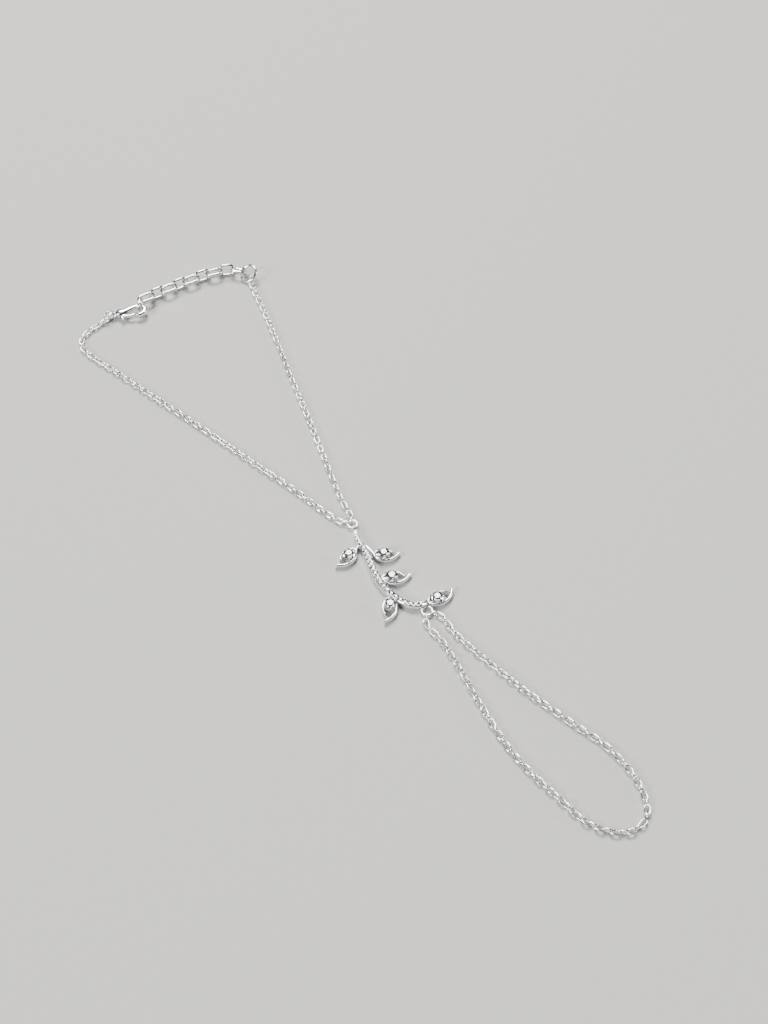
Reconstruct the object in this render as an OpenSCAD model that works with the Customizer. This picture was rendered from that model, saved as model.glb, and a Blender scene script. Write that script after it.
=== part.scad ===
// Hand chain bracelet. Two fine chains, closed by a lobster clasp and an extender, go round the wrist.
// A vine of five open leaves, set with clear stones, lies on the back of the hand. A loop of fine chain
// leaves the vine's lower end for the finger and comes back to it.
// Millimetres, lying flat with +Z up. The wrist loop runs to +Y and the finger loop to -Y.
// Plan places are measured from the middle of the junction ring, where the two wrist chains meet the vine.

/* [Fine chain] */
// Wire of a fine link
fine_wire = 0.3; // [0.26:0.01:0.3]
// Outer length of a fine link
fine_length = 2.06; // [2.05:0.01:2.08]
// Outer width of a fine link
fine_width = 1.28; // [1.2:0.01:1.32]
// Links of the wrist chain on the clasp's side
clasp_side_links = 66; // [66:2:66]
// Links of the wrist chain on the extender's side
extender_side_links = 56; // [56:2:56]
// Links of the finger loop
finger_links = 89; // [89:2:89]

/* [Extender chain] */
// Wire of an extender link
wide_wire = 0.64; // [0.56:0.01:0.65]
// Outer length of an extender link
wide_length = 4.24; // [4.22:0.01:4.26]
// Outer width of an extender link
wide_width = 3.0; // [2.9:0.05:3.1]
// Links of the extender
wide_links = 10; // [10:1:10]

/* [Rings] */
// Outer diameter of the junction ring at the top of the vine
junction_ring_d = 2.2; // [2.15:0.01:2.3]
// Wire of the junction ring
junction_wire = 0.38; // [0.34:0.01:0.4]
// Outer diameter of the rings that join the fine chains to the clasp and to the extender
joining_ring_d = 2.8; // [2.78:0.01:2.82]
// Wire of the joining rings
joining_wire = 0.42; // [0.36:0.01:0.42]
// Outer diameter of the ring at the end of the extender
end_ring_d = 4.4; // [4.35:0.01:4.5]
// Wire of the extender's end ring
end_wire = 0.66; // [0.6:0.01:0.68]

/* [Vine] */
// Thickness of the stem
stem_t = 1.5; // [1.4:0.05:1.7]
// Underside of the leaf frames above the stem's flat back
leaf_low = 0.3; // [0:0.05:0.4]
// Top of the leaf frames
leaf_high = 1.15; // [1.0:0.05:1.3]
// Outer diameter of the fixed ring that the finger loop hangs from
finger_ring_d = 2.4; // [2.35:0.01:2.5]
// Wire of the fixed ring
finger_ring_wire = 0.44; // [0.4:0.01:0.45]

/* [Stones] */
// Diameter of a leaf's stone
leaf_stone_d = 2.08; // [1.9:0.02:2.1]
// Height of the leaf stones' girdles
girdle_z = 1.75; // [1.7:0.05:1.9]
// Diameter of a stem stone as a share of the stem's width
pave_share = 0.66; // [0.6:0.01:0.68]
// Air between neighbouring stem stones
pave_gap = 0.11; // [0.1:0.01:0.16]
// Air between a stone and its metal
seat_gap = 0.03; // [0.02:0.01:0.05]

/* [Clasp] */
// Wire of the clasp's hook
hook_wire = 1.12; // [1.1:0.02:1.24]
// Thickness of the clasp's housing
housing_t = 1.8; // [1.6:0.1:2.0]
// Thickness of the lever
lever_t = 0.76; // [0.6:0.02:0.8]
// Diameter of the lever's pivot
pivot_d = 0.45; // [0.4:0.01:0.5]

/* [Hidden] */
$fn = 24;
silver = "silver";
clear = "aliceblue";

// Middle of the junction ring, from the middle of the whole piece
junction = [3.69, -0.02];
// Height of the rings that lie flat, level with the fine links that stand on edge
flat_ring_z = 0.65;
// Lift of a chain's last link by the wire of the ring that it hangs from
ring_lift = 0.07;
// Running room round the lever's pivot, and on each side of the lever
pivot_room = 0.03;
lever_room = 0.06;

// Stem: x, y and width at each row, from the junction to the finger ring
stem_rows = [
    [-0.35, -1.5, 0.6], [-0.6, -2.1, 0.95], [-0.95, -3.0, 1.1], [-1.25, -5.0, 1.2], [-1.4, -7.0, 1.35],
    [-1.75, -9.0, 1.45], [-2.2, -10.8, 1.5], [-2.55, -12.5, 1.5], [-2.75, -14.1, 1.5], [-2.75, -15.8, 1.5],
    [-2.5, -17.5, 1.5], [-2.05, -19.2, 1.45], [-1.4, -20.8, 1.4], [-0.5, -22.0, 1.35], [0.6, -22.8, 1.3],
    [1.9, -23.2, 1.2]
];
// Twig that leaves the stem for the second leaf, and web that carries the first
twig_rows = [[-1.2, -5.2, 0.7], [-0.6, -6.6, 0.8], [-0.4, -8.2, 0.8], [-0.4, -9.0, 0.6]];
web_rows = [[-1.3, -4.8, 0.5], [-2.0, -5.4, 0.5], [-2.9, -5.7, 0.6]];
// Leaves: x and y of the base, heading, length, and 1 where the long rim is on the left or -1 on the right
leaf_rows = [
    [-2.7, -5.6, 196, 5.2, 1],
    [-0.5, -8.5, -29, 5.0, -1],
    [-2.1, -14.0, -23, 5.6, -1],
    [-2.6, -18.5, 227, 5.6, 1],
    [2.4, -23.4, 2, 5.6, -1]
];
// A leaf's frame for a length of 5.4: along, aside and width. The long rim runs on into the pointed tip
drawn_leaf = 5.4;
long_rim = [
    [0, 0, 0.5], [0.8, 0.85, 0.5], [2.1, 1.35, 0.58], [3.5, 1.28, 0.52], [4.6, 0.65, 0.46],
    [5.4, -0.2, 0.3]
];
short_rim = [
    [0, 0, 0.5], [0.7, -0.75, 0.45], [2.0, -1.2, 0.55], [3.2, -0.95, 0.42], [4.1, -0.25, 0.36],
    [4.7, 0.5, 0.3]
];
leaf_stone_at = [2.0, 0.08];
// Share of the stone's diameter for its table, crown height and pavilion depth
table_share = 0.56;
crown_share = 0.15;
pavilion_share = 0.43;
girdle_share = 0.03;

// Fixed ring for the finger loop and eye for the junction ring
finger_ring_at = [1.36, -24.52];
eye_at = [-0.2, -0.9];
eye_heading = 66;
eye_d = 1.36;
eye_wire = 0.34;

// Routes of the fine chains, from the middle of the first link to the middle of the last
clasp_side_route = [
    [-0.92, 0.96], [-1.85, 2.2], [-3.3, 6.0], [-5.5, 13.6], [-8.9, 23.6], [-12.6, 34.7], [-15.9, 44.1],
    [-19.7, 55.0], [-22.6, 63.3], [-24.3, 68.0], [-25.0, 70.8], [-25.0, 72.4], [-24.45, 73.9],
    [-23.4, 75.1], [-22.0, 75.95], [-19.7, 76.45], [-17.41, 76.98]
];
extender_side_route = [
    [0.46, 1.25], [0.85, 2.6], [1.4, 6.9], [3.1, 14.4], [5.3, 23.7], [7.2, 31.9], [9.6, 42.5], [11.4, 49.8],
    [13.3, 58.4], [14.3, 63.2], [14.85, 66.8], [15.52, 69.62]
];
finger_route = [
    [0.52, -25.6], [-0.2, -26.7], [-0.3, -28.4], [0.1, -31.2], [-0.2, -36.1], [-1.1, -43.8],
    [-1.9, -51.7], [-2.0, -56.6],
    [-1.4, -61.8], [-0.3, -67.2], [0.8, -72.6], [2.4, -75.8], [4.6, -78.0], [7.0, -78.9], [9.3, -78.6],
    [11.2, -77.1], [12.4, -74.6], [13.0, -71.6], [13.1, -68.2], [12.3, -63.3], [10.5, -58.4], [8.7, -53.1],
    [6.9, -47.4], [5.3, -41.2], [4.0, -36.0], [3.1, -31.2],
    [3.1, -28.4], [2.92, -26.7], [2.2, -25.6]
];
// Roll of every other link, at even steps along each chain. The links between stand across it
clasp_side_rolls = [90, 70, 55, 75, 100, 120, 100, 80, 60, 80, 105, 125, 110, 95, 90, 90, 90];
extender_side_rolls = [90, 110, 125, 105, 85, 65, 80, 100, 120, 135, 120, 100, 85, 90, 90];
finger_rolls = [
    90, 90, 75, 60, 75, 95, 115, 100, 80, 65, 60, 70, 80, 90, 90, 75, 60, 70, 90, 105, 115, 100, 90, 90
];

// Clasp: tail eye, heading, slope and height, then its parts in its own plane, tail eye at the origin
clasp_at = [-15.36, 77.49, 0.9];
clasp_heading = -24;
clasp_slope = 5;
tail_eye_d = 1.9;
tail_eye_wire = 0.5;
housing_at = [1.75, 0.15];
housing_d = 2.2;
bow_at = [5.9, 0.1];
bow_r = 1.3;
back_r = 5.2;
bow_turn = 202;
back_turn = 43;
pivot_at = [1.8, -0.25];
lever_rows = [
    [1.8, -0.25, 0.9], [2.5, -0.75, 0.85], [3.5, -1.1, 0.66], [4.3, -1.1, 0.6], [4.85, -0.95, 0.55]
];
thumb_rows = [[2.3, -0.8, 0.6], [2.1, -1.5, 0.5], [2.35, -1.8, 0.42]];

// Extender links: x, y, heading and roll. The first one is closed round the clasp's hook
wide_rows = [
    [-8.92, 76.62, 55, 90], [-6.83, 78.05, 0, -8], [-4.03, 78.05, 0, 82], [-1.23, 78.05, 0, -8],
    [1.57, 78.02, -1, 82], [4.37, 77.93, -3, -8], [7.16, 77.73, -6, 80], [9.93, 77.34, -12, -14],
    [12.59, 76.5, -22, 76], [14.94, 75.06, -48, -30]
];
// Rings at the two ends of the clasp and the extender: x, y, height, heading and roll
end_ring_row = [16.36, 72.76, 1.56, -80, 34];
joining_ring_row = [15.8, 70.68, 1.4, -105, 90];
clasp_ring_row = [-16.37, 77.24, 1.4, 14, 90];

// Smooth curve through the rows of a table, with k points for each row
function through(rows, k) = [
    for (i = [0:len(rows) - 2])
        let (
            a = rows[max(i - 1, 0)],
            b = rows[i],
            c = rows[i + 1],
            d = rows[min(i + 2, len(rows) - 1)]
        )
            for (j = [0:k - 1])
                let (t = j / k)
                    (2 * b + (c - a) * t + (2 * a - 5 * b + 4 * c - d) * t * t
                        + (3 * b - a - 3 * c + d) * t * t * t) / 2,
    rows[len(rows) - 1]
];

// Length of a curve in plan up to each of its points
function step(curve, i) = i == 0 ? 0 : norm([curve[i].x - curve[i - 1].x, curve[i].y - curve[i - 1].y]);
function reach(curve) = [
    for (i = 0, s = 0; i < len(curve); i = i + 1, s = i < len(curve) ? s + step(curve, i) : s) s
];

// Column k of a curve as a table over its length, and the heading of the curve at a length
function column(curve, lengths, k) = [for (i = [0:len(curve) - 1]) [lengths[i], curve[i][k]]];
function heading_at(xs, ys, s) = atan2(
    lookup(s + 0.3, ys) - lookup(s - 0.3, ys),
    lookup(s + 0.3, xs) - lookup(s - 0.3, xs)
);

// Height of the middle of a link that rests on the surface at a roll, its neighbour across it
function resting(width, wire, roll) = (width - wire) / 2 * max(abs(sin(roll)), abs(cos(roll))) + wire / 2;

// Heading of a curve at one of its points
function turn(curve, i) = let (
    a = curve[max(i - 1, 0)],
    b = curve[min(i + 1, len(curve) - 1)]
) atan2(b.y - a.y, b.x - a.x);

// Point beside a row at an angle to its heading, half the row's width away
function beside(row, angle) = [row.x + row.z / 2 * cos(angle), row.y + row.z / 2 * sin(angle)];

// Strip through rows of x, y and width, with round ends, between two heights
module strip(rows, low, high, k = 4, slack = 0) {
    curve = [for (row = through(rows, k)) row + [0, 0, slack]];
    last = len(curve) - 1;
    left = [for (i = [0:last]) beside(curve[i], turn(curve, i) + 90)];
    front = [for (a = [60, 30, 0, -30, -60]) beside(curve[last], turn(curve, last) + a)];
    right = [for (i = [last:-1:0]) beside(curve[i], turn(curve, i) - 90)];
    rear = [for (a = [-120, -150, 180, 150, 120]) beside(curve[0], turn(curve, 0) + a)];
    translate([0, 0, low])
        linear_extrude(high - low)
            polygon(concat(left, front, right, rear));
}

// Round ring in the XY plane
module ring(outer, wire) {
    rotate_extrude()
        translate([(outer - wire) / 2, 0])
            circle(d = wire, $fn = 16);
}

// Oval link along X in the XY plane: two half rings and two straight wires
module link(outer, width, wire) {
    straight = outer - width;
    for (end = [-1, 1]) {
        translate([end * straight / 2, 0, 0])
            rotate([0, 0, end > 0 ? -90 : 90])
                rotate_extrude(angle = 180)
                    translate([(width - wire) / 2, 0])
                        circle(d = wire, $fn = 16);
        translate([-straight / 2, end * (width - wire) / 2, 0])
            rotate([0, 90, 0])
                cylinder(d = wire, h = straight, $fn = 16);
    }
}

// Fine links at even steps along a route, each across the one before. The last one is lifted by its ring
module fine_chain(route, rolls, count, lift = 0) {
    curve = through(route, 10);
    lengths = reach(curve);
    xs = column(curve, lengths, 0);
    ys = column(curve, lengths, 1);
    turns = [for (i = [0:len(rolls) - 1]) [i / (len(rolls) - 1), rolls[i]]];
    for (i = [0:count - 1]) {
        share = i / (count - 1);
        s = share * lengths[len(lengths) - 1];
        roll = lookup(share, turns) + i % 2 * 90;
        z = resting(fine_width, fine_wire, roll) + (i == count - 1 ? lift : 0);
        translate([lookup(s, xs), lookup(s, ys), z])
            rotate([roll, 0, heading_at(xs, ys, s)])
                link(fine_length, fine_width, fine_wire);
    }
}

// Round brilliant: table and star facets, sixteen girdle facets and a pointed pavilion, girdle at z = 0
module brilliant(d) {
    flat = 0.001;
    hull() {
        rotate([0, 0, 22.5])
            translate([0, 0, d * crown_share])
                cylinder(d = d * table_share, h = flat, $fn = 8);
        translate([0, 0, d * crown_share * 0.58])
            cylinder(d = d * 0.8, h = flat, $fn = 8);
        translate([0, 0, -d * girdle_share / 2])
            cylinder(d = d, h = d * girdle_share, $fn = 16);
        rotate([0, 0, 22.5])
            translate([0, 0, -d * 0.36])
                cylinder(d = d * 0.23, h = flat, $fn = 8);
        translate([0, 0, -d * pavilion_share])
            cylinder(d = d * 0.02, h = flat, $fn = 8);
    }
}

// Smaller stone with a table, sixteen crown facets and eight pavilion facets, girdle at z = 0
module small_stone(d) {
    sides = 8;
    function round_row(r, z, phase) = [for (i = [0:sides - 1])
        [r * cos(360 * (i + phase) / sides), r * sin(360 * (i + phase) / sides), z]];
    function next(i) = (i + 1) % sides;
    points = concat(
        round_row(d * table_share / 2, d * crown_share, 0.5),
        round_row(d / 2, d * girdle_share / 2, 0),
        round_row(d / 2, -d * girdle_share / 2, 0),
        [[0, 0, -d * pavilion_share]]
    );
    faces = concat(
        [[for (i = [sides - 1:-1:0]) i]],
        [for (i = [0:sides - 1]) [i, sides + next(i), sides + i]],
        [for (i = [0:sides - 1]) [i, next(i), sides + next(i)]],
        [for (i = [0:sides - 1]) [sides + i, sides + next(i), 2 * sides + next(i), 2 * sides + i]],
        [for (i = [0:sides - 1]) [2 * sides + i, 2 * sides + next(i), 3 * sides]]
    );
    polyhedron(points, faces);
}

// Stones along the stem: length along it and diameter, each a gap away from the one before
stem_curve = through(stem_rows, 8);
stem_lengths = reach(stem_curve);
stem_xs = column(stem_curve, stem_lengths, 0);
stem_ys = column(stem_curve, stem_lengths, 1);
stem_widths = column(stem_curve, stem_lengths, 2);
stem_end = stem_lengths[len(stem_lengths) - 1];
first_stone_s = 0.75;
function pave_d(s) = lookup(s, stem_widths) * pave_share;
function next_s(s) = s + pave_d(s + 0.5) / 2 + pave_d(s) / 2 + pave_gap;
pave_s = [for (s = first_stone_s; s < stem_end - 0.4; s = next_s(s)) s];

// Children at a length along the stem, facing along it
module on_stem(s) {
    translate([lookup(s, stem_xs), lookup(s, stem_ys), 0])
        rotate([0, 0, heading_at(stem_xs, stem_ys, s)])
            children();
}

// Children in a leaf's own axes, long rim on +Y
module in_leaf(row) {
    translate([row[0], row[1], 0])
        rotate([0, 0, row[2]])
            mirror([0, row[4] < 0 ? 1 : 0, 0])
                children();
}

// Rows of a rim for a leaf of a length
function stretched(rows, length) = [for (row = rows) [row.x * length / drawn_leaf, row.y, row.z]];

// Room for a leaf's stone, a little larger than it, with smooth walls that its facets stay inside
module stone_room() {
    r = leaf_stone_d / 2 + seat_gap;
    girdle = leaf_stone_d * girdle_share + 2 * seat_gap;
    table_r = leaf_stone_d * table_share / 2 + seat_gap;
    crown = leaf_stone_d * crown_share + seat_gap;
    pavilion = leaf_stone_d * pavilion_share + seat_gap;
    translate([0, 0, girdle_z]) {
        translate([0, 0, -girdle / 2])
            cylinder(r = r, h = girdle);
        translate([0, 0, girdle / 2])
            cylinder(r1 = r, r2 = table_r, h = crown - girdle / 2);
        translate([0, 0, -pavilion - girdle / 2])
            cylinder(r1 = 0.01, r2 = r, h = pavilion);
    }
}

// Setting of a leaf's stone: gallery ring and four prongs whose tips lean over the girdle
module setting() {
    prong_r = 0.21;
    prong_at = leaf_stone_d / 2 + 0.18;
    tip_r = 0.26;
    difference() {
        union() {
            translate([0, 0, leaf_low])
                difference() {
                    cylinder(r = 1.1, h = 0.7);
                    translate([0, 0, -0.1])
                        cylinder(r = 0.68, h = 1);
                }
            for (a = [45:90:315])
                rotate([0, 0, a]) {
                    translate([prong_at, 0, leaf_low])
                        cylinder(r = prong_r, h = girdle_z - leaf_low + 0.22);
                    translate([prong_at - 0.1, 0, girdle_z + 0.2])
                        sphere(r = tip_r, $fn = 20);
                }
        }
        stone_room();
    }
}

module leaf_frame(row) {
    in_leaf(row) {
        strip(stretched(long_rim, row[3]), leaf_low, leaf_high);
        strip(stretched(short_rim, row[3]), leaf_low, leaf_high - 0.1);
        strip([[-0.3, 0, 0.7], [0.4, 0.02, 0.7], [1.1, 0.05, 0.6]], leaf_low + 0.05, leaf_high - 0.25);
        translate([leaf_stone_at.x, leaf_stone_at.y, 0])
            setting();
    }
}

// Groove along the stem that its stones sit in
groove_floor = stem_t - 0.6;
module groove() {
    rows = [for (row = stem_rows) [row.x, row.y, row.z * pave_share + 2 * seat_gap]];
    difference() {
        strip(rows, groove_floor, stem_t + 1);
        for (end = [0, stem_end])
            on_stem(end)
                cube([0.7, 2, 4], center = true);
    }
}

// Grains of metal that hold the stem's stones, a pair between each stone and the next
module grains() {
    for (i = [0:len(pave_s) - 2], side = [-1, 1]) {
        s = (pave_s[i] + pave_s[i + 1]) / 2;
        d = pave_d(s);
        on_stem(s)
            translate([0, side * d * 0.45, groove_floor - 0.1])
                cylinder(r = d * 0.14, h = stem_t - groove_floor + 0.2, $fn = 16);
    }
}

module vine() {
    color(silver) {
        difference() {
            union() {
                strip(stem_rows, 0, stem_t);
                strip(twig_rows, leaf_low, stem_t - 0.15);
                strip(web_rows, leaf_low, leaf_high);
                for (row = leaf_rows)
                    leaf_frame(row);
            }
            groove();
        }
        grains();
        translate([finger_ring_at.x, finger_ring_at.y, flat_ring_z])
            ring(finger_ring_d, finger_ring_wire);
        translate([eye_at.x, eye_at.y, eye_d / 2])
            rotate([90, 0, eye_heading])
                ring(eye_d, eye_wire);
    }
}

module pave_stones() {
    color(clear)
        for (s = pave_s)
            on_stem(s)
                translate([0, 0, stem_t - 0.1])
                    small_stone(pave_d(s));
}

module leaf_stone(row) {
    color(clear)
        in_leaf(row)
            translate([leaf_stone_at.x, leaf_stone_at.y, girdle_z])
                brilliant(leaf_stone_d);
}

module junction_ring() {
    color(silver)
        translate([0, 0, flat_ring_z])
            ring(junction_ring_d, junction_wire);
}

// Ring at a row of x, y, height, heading and roll
module placed_ring(row, outer, wire) {
    color(silver)
        translate([row[0], row[1], row[2]])
            rotate([row[4], 0, row[3]])
                ring(outer, wire);
}

module extender_link(row) {
    color(silver)
        translate([row[0], row[1], resting(wide_width, wide_wire, row[3])])
            rotate([row[3], 0, row[2]])
                link(wide_length, wide_width, wide_wire);
}

// Children in the clasp's own plane
module in_clasp() {
    color(silver)
        translate(clasp_at)
            rotate([0, -clasp_slope, clasp_heading])
                children();
}

// Piece of round wire on an arc round a centre, from its top, turning left or, below 0, right
module wire_arc(centre, r, wire, turned) {
    translate([centre.x, centre.y, 0])
        rotate([0, 0, 90])
            rotate_extrude(angle = turned)
                translate([r, 0])
                    circle(d = wire, $fn = 20);
}

module clasp_body() {
    back_at = bow_at - [0, back_r - bow_r];
    slot = lever_t + 2 * lever_room;
    in_clasp() {
        ring(tail_eye_d, tail_eye_wire);
        difference() {
            union() {
                translate([housing_at.x, housing_at.y, -housing_t / 2])
                    cylinder(d = housing_d, h = housing_t);
                wire_arc(back_at, back_r, hook_wire, back_turn);
            }
            strip(lever_rows, -slot / 2, slot / 2, 4, 4 * lever_room);
            strip(thumb_rows, -slot / 2, slot / 2, 4, 4 * lever_room);
            lever_swing(slot);
        }
        wire_arc(bow_at, bow_r, hook_wire, -bow_turn);
        translate([pivot_at.x, pivot_at.y, -housing_t / 2])
            cylinder(d = pivot_d, h = housing_t);
    }
}

// Room that the lever sweeps as it opens
module lever_swing(slot) {
    for (open = [6, 12, 18, 24])
        translate([pivot_at.x, pivot_at.y, 0])
            rotate([0, 0, open])
                translate([-pivot_at.x, -pivot_at.y, 0])
                    strip(lever_rows, -slot / 2, slot / 2, 4, 4 * lever_room);
}

module clasp_lever() {
    in_clasp()
        difference() {
            union() {
                strip(lever_rows, -lever_t / 2, lever_t / 2);
                strip(thumb_rows, -lever_t / 2, lever_t / 2);
            }
            translate([pivot_at.x, pivot_at.y, -lever_t])
                cylinder(d = pivot_d + 2 * pivot_room, h = 2 * lever_t);
        }
}

// Everything moves from the junction to the middle of the whole piece
module placed() {
    translate([junction.x, junction.y, 0])
        children();
}

placed() vine();
placed() pave_stones();
for (i = [1:5])
    placed() leaf_stone(leaf_rows[i - 1]);
placed() junction_ring();
placed() color(silver)  // wrist_chain_clasp_side
        fine_chain(clasp_side_route, clasp_side_rolls, clasp_side_links, ring_lift);
placed() color(silver)  // wrist_chain_extender_side
        fine_chain(extender_side_route, extender_side_rolls, extender_side_links, ring_lift);
placed() color(silver)  // finger_chain
        fine_chain(finger_route, finger_rolls, finger_links);
placed() placed_ring(clasp_ring_row, joining_ring_d, joining_wire);  // clasp_ring
placed() clasp_body();
placed() clasp_lever();
for (i = [1:wide_links])
    placed() extender_link(wide_rows[i - 1]);
placed() placed_ring(end_ring_row, end_ring_d, end_wire);  // extender_end_ring
placed() placed_ring(joining_ring_row, joining_ring_d, joining_wire);  // extender_joining_ring
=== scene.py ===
import math

import bmesh
import bpy
import numpy as np
from mathutils import Euler, Matrix, Vector


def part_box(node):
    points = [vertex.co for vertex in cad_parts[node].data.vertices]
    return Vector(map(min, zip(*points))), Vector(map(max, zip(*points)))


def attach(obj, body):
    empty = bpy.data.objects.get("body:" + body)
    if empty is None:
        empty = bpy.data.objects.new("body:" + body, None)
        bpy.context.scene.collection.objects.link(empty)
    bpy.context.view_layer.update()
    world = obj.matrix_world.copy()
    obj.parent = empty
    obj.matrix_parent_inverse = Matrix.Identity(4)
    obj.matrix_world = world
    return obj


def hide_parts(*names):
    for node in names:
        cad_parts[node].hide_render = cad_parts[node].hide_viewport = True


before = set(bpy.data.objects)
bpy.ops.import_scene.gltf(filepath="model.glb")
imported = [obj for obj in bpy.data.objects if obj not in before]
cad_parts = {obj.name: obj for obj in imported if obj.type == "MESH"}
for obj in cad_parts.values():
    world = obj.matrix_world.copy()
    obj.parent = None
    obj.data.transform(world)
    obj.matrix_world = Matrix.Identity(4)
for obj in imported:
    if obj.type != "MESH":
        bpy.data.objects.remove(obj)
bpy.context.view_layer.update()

# The view. The bracelet lies flat, and the photograph looks down on it from the side of the finger loop.
# The camera is placed from the junction ring, where the two wrist chains meet the vine.
lens = 45.53
sensor = 36
nearest_seen = 0.002
farthest_seen = 20
camera_aside = -0.07468
camera_back = -0.13113
camera_height = 0.20402
camera_tilt = 37.09
camera_heading = -32
junction = sum(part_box("junction_ring"), Vector()) / 2
camera = bpy.data.objects.new("camera", bpy.data.cameras.new("camera"))
camera.data.lens = lens
camera.data.sensor_width = sensor
camera.data.clip_start = nearest_seen
camera.data.clip_end = farthest_seen
camera.location = (junction.x + camera_aside, junction.y + camera_back, camera_height)
camera.rotation_euler = (math.radians(camera_tilt), 0, math.radians(camera_heading))
bpy.context.scene.collection.objects.link(camera)
bpy.context.scene.camera = camera

# The studio. A pale matt card to lie on, a large soft light over the far side, a smaller one from the left
# and a low strip on the right. The polished metal reflects them and a dim room, dark at the sides and less
# so overhead. Past the card the camera sees a pale wall in the room's place.
card_reach = 3.0
card_pale = (0.50, 0.492, 0.478, 1)
card_shaded = (0.455, 0.447, 0.434, 1)
card_fibre = {"Scale": 700, "Detail": 4.0}
card_roughness = 0.65
card_gloss = 0.25
room_low = (0.012, 0.013, 0.014, 1)
room_high = (0.16, 0.165, 0.175, 1)
room_dark_up_to = 0.1
room_light_from = 1.0
wall_pale = (0.60, 0.60, 0.59, 1)
lights = [
    # name, place, width, watts, colour
    ("light_far_side", (0.57, 1.50, 2.16), 1.20, 150.0, (1.0, 0.98, 0.95)),
    ("light_left", (-1.95, -0.15, 1.35), 0.78, 66.0, (0.95, 0.98, 1.0)),
    ("light_right", (1.80, -0.90, 0.66), 0.42, 22.0, (1.0, 1.0, 1.0)),
]


def wired(tree, kind, inputs=None, **settings):
    """A new node with its settings made and its inputs filled or linked."""
    made = tree.nodes.new(kind)
    for name, value in settings.items():
        setattr(made, name, value)
    for name, value in (inputs or {}).items():
        if isinstance(value, bpy.types.NodeSocket):
            tree.links.new(value, made.inputs[name])
        else:
            made.inputs[name].default_value = value
    return made


def mixed(tree, share, low, high):
    """The colour between two colours at a share."""
    factor, a, b, result = 0, 6, 7, 2
    made = wired(tree, "ShaderNodeMix", {factor: share, a: low, b: high}, data_type="RGBA")
    return made.outputs[result]


def new_material(name):
    """A material with nodes, its tree and its main shader."""
    material = bpy.data.materials.new(name)
    material.use_nodes = True
    return material, material.node_tree, material.node_tree.nodes["Principled BSDF"]


card_material, tree, shader = new_material("pale_card")
place = wired(tree, "ShaderNodeTexCoord").outputs["Object"]
fibre = wired(tree, "ShaderNodeTexNoise", {"Vector": place, **card_fibre})
tree.links.new(mixed(tree, fibre.outputs["Fac"], card_pale, card_shaded), shader.inputs["Base Color"])
shader.inputs["Roughness"].default_value = card_roughness
shader.inputs["Specular IOR Level"].default_value = card_gloss

card_mesh = bpy.data.meshes.new("card")
corners = [(x * card_reach, y * card_reach, 0) for x, y in [(-1, -1), (1, -1), (1, 1), (-1, 1)]]
card_mesh.from_pydata(corners, [], [(0, 1, 2, 3)])
card_mesh.materials.append(card_material)
card = bpy.data.objects.new("card", card_mesh)
bpy.context.scene.collection.objects.link(card)

for name, at, width, watts, colour in lights:
    lamp = bpy.data.lights.new(name, "AREA")
    lamp.size = width
    lamp.energy = watts
    lamp.color = colour
    light = bpy.data.objects.new(name, lamp)
    light.location = at
    light.rotation_euler = (-Vector(at)).to_track_quat("-Z", "Y").to_euler()
    bpy.context.scene.collection.objects.link(light)

world = bpy.data.worlds.new("studio")
world.use_nodes = True
bpy.context.scene.world = world
tree = world.node_tree
facing = wired(tree, "ShaderNodeTexCoord").outputs["Generated"]
height = wired(tree, "ShaderNodeSeparateXYZ", {"Vector": facing}).outputs["Z"]
share = wired(tree, "ShaderNodeMapRange", {0: height, 1: room_dark_up_to, 2: room_light_from},
              interpolation_type="SMOOTHSTEP")
room = mixed(tree, share.outputs[0], room_low, room_high)
seen = wired(tree, "ShaderNodeLightPath").outputs["Is Camera Ray"]
tree.links.new(mixed(tree, seen, room, wall_pale), tree.nodes["Background"].inputs["Color"])

# The vine's casting. Silver, cast, soldered into one, polished and rhodium plated: a tapering stem with a
# groove for its stones, a twig and a web to two leaves, five leaves of two rims each, four-prong settings,
# an eye at the top and a fixed ring below. Lengths are in millimetres.
mm = 0.001
stem_rows = [
    # x, y from the junction ring, width
    (-0.35, -1.5, 0.6), (-0.6, -2.1, 0.95), (-0.95, -3.0, 1.1), (-1.25, -5.0, 1.2), (-1.4, -7.0, 1.35),
    (-1.75, -9.0, 1.45), (-2.2, -10.8, 1.5), (-2.55, -12.5, 1.5), (-2.75, -14.1, 1.5), (-2.75, -15.8, 1.5),
    (-2.5, -17.5, 1.5), (-2.05, -19.2, 1.45), (-1.4, -20.8, 1.4), (-0.5, -22.0, 1.35), (0.6, -22.8, 1.3),
    (1.9, -23.2, 1.2),
]
twig_rows = [(-1.2, -5.2, 0.7), (-0.6, -6.6, 0.8), (-0.4, -8.2, 0.8), (-0.4, -9.0, 0.6)]
web_rows = [(-1.3, -4.8, 0.5), (-2.0, -5.4, 0.5), (-2.9, -5.7, 0.6)]
leaf_rows = [
    # x, y of the base, heading, length, side of the long rim
    (-2.7, -5.6, 196, 5.2, 1),
    (-0.5, -8.5, -29, 5.0, -1),
    (-2.1, -14.0, -23, 5.6, -1),
    (-2.6, -18.5, 227, 5.6, 1),
    (2.4, -23.4, 2, 5.6, -1),
]
drawn_leaf = 5.4
long_rim = [
    # along, aside, width
    (0, 0, 0.5), (0.8, 0.85, 0.5), (2.1, 1.35, 0.58), (3.5, 1.28, 0.56), (4.6, 0.65, 0.56),
    (5.4, -0.2, 0.48),
]
short_rim = [
    (0, 0, 0.5), (0.7, -0.75, 0.45), (2.0, -1.2, 0.55), (3.2, -0.95, 0.46), (4.1, -0.25, 0.42),
    (4.7, 0.5, 0.36),
]
leaf_base = [(-0.3, 0, 0.7), (0.4, 0.02, 0.7), (1.1, 0.05, 0.6)]
leaf_stone_place = Vector((2.0, 0.08, 0))
stem_top = 1.5
twig_top = stem_top - 0.15
leaf_low = 0.3
leaf_high = 1.15
short_rim_high = leaf_high - 0.1
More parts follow.
